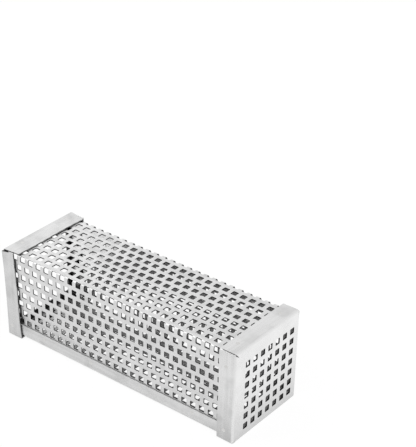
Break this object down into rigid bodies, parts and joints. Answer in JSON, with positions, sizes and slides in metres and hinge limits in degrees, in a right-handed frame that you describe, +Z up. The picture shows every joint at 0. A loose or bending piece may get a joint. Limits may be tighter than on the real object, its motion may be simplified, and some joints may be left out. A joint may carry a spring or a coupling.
{
  "type": "pellet smoker tube",
  "caption": "Square tube of perforated stainless sheet with a pierced folded lid at one end and a rimmed open mouth at the other, filled with wood pellets and lit to make smoke in a grill.",
  "frame": {"origin": "middle of the tube's length and width, on the plane that its lower flanges rest on", "axes": "+X along the tube towards the closed end, +Y towards the back, +Z up with the tube lying on one side"},
  "size_m": [0.1524, 0.0522, 0.0522],
  "materials": {
    "body_steel": "mill-finish stainless sheet, satin, punched with square holes",
    "lid_steel": "mill-finish stainless sheet, satin, rubbed bright along the folds",
    "frame_steel": "mill-finish stainless sheet, satin, slightly dented at the welds",
    "weld_steel": "spot weld face, dull, with a faint heat tint"
  },
  "bodies": {
    "root": {"body_half_front": "body_steel", "body_half_back": "body_steel", "end_cap": "lid_steel", "end_collar": "frame_steel", "weld_cap_top_1": "weld_steel", "weld_cap_top_2": "weld_steel", "weld_cap_front_1": "weld_steel", "weld_cap_front_2": "weld_steel", "weld_cap_bottom_1": "weld_steel", "weld_cap_bottom_2": "weld_steel", "weld_cap_back_1": "weld_steel", "weld_cap_back_2": "weld_steel", "weld_collar_top_1": "weld_steel", "weld_collar_top_2": "weld_steel", "weld_collar_front_1": "weld_steel", "weld_collar_front_2": "weld_steel", "weld_collar_bottom_1": "weld_steel", "weld_collar_bottom_2": "weld_steel", "weld_collar_back_1": "weld_steel", "weld_collar_back_2": "weld_steel", "weld_seam_front_1": "weld_steel", "weld_seam_front_2": "weld_steel", "weld_seam_front_3": "weld_steel", "weld_seam_front_4": "weld_steel", "weld_seam_back_1": "weld_steel", "weld_seam_back_2": "weld_steel", "weld_seam_back_3": "weld_steel", "weld_seam_back_4": "weld_steel"}
  },
  "joints": []
}
